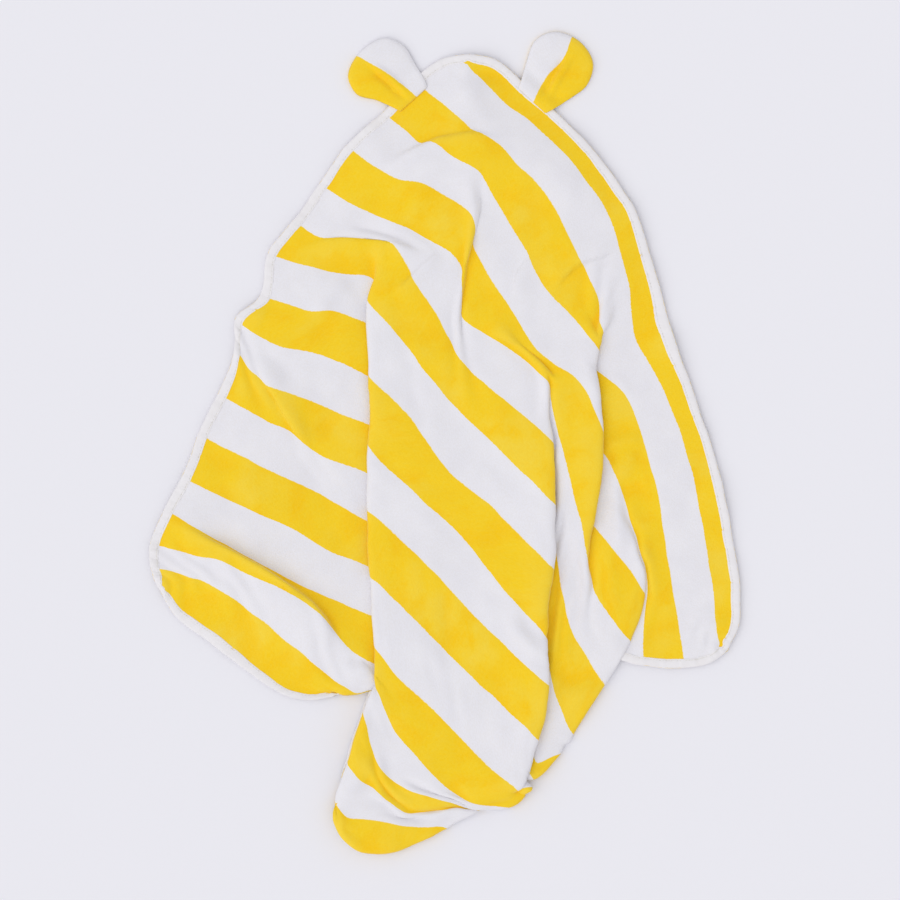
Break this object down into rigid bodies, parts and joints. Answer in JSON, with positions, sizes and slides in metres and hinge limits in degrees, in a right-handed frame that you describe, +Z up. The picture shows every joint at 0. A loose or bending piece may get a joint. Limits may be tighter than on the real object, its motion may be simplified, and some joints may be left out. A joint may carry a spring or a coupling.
{
  "type": "hooded baby towel",
  "caption": "Square striped terry baby towel with bound edges, a hood sewn into one corner and animal ears, lying loosely folded on a flat surface.",
  "frame": {"origin": "middle of the footprint of the towel as it lies, on the surface under it", "axes": "+Z up from the surface, +Y towards the hood corner, +X to the right when the hood is at the top"},
  "size_m": [0.5986, 0.8274, 0.024],
  "materials": {
    "striped_terry": "looped cotton terry, yellow and white stripes",
    "hood_terry": "looped cotton terry, white",
    "binding_tape": "plain woven cotton bias tape, cream",
    "sewing_thread": "spun polyester thread, cream"
  },
  "bodies": {
    "towel": {"towel_panel": "striped_terry", "hood_panel": "hood_terry", "edge_binding": "binding_tape", "binding_stitching": "sewing_thread", "hood_hem_binding": "binding_tape", "hood_hem_stitching": "sewing_thread"},
    "ear_left": {"ear_left_front": "striped_terry", "ear_left_back": "striped_terry"},
    "ear_right": {"ear_right_front": "striped_terry", "ear_right_back": "striped_terry"}
  },
  "joints": [
    {"name": "ear_left_flop", "type": "hinge", "parent": "towel", "child": "ear_left", "pos_m": [-0.038, 0.3499, 0.005], "axis": [0.7411, 0.6714, 0], "range_deg": [0, 140]},
    {"name": "ear_right_flop", "type": "hinge", "parent": "towel", "child": "ear_right", "pos_m": [0.0925, 0.3494, 0.005], "axis": [0.738, -0.6748, 0], "range_deg": [0, 140]}
  ]
}
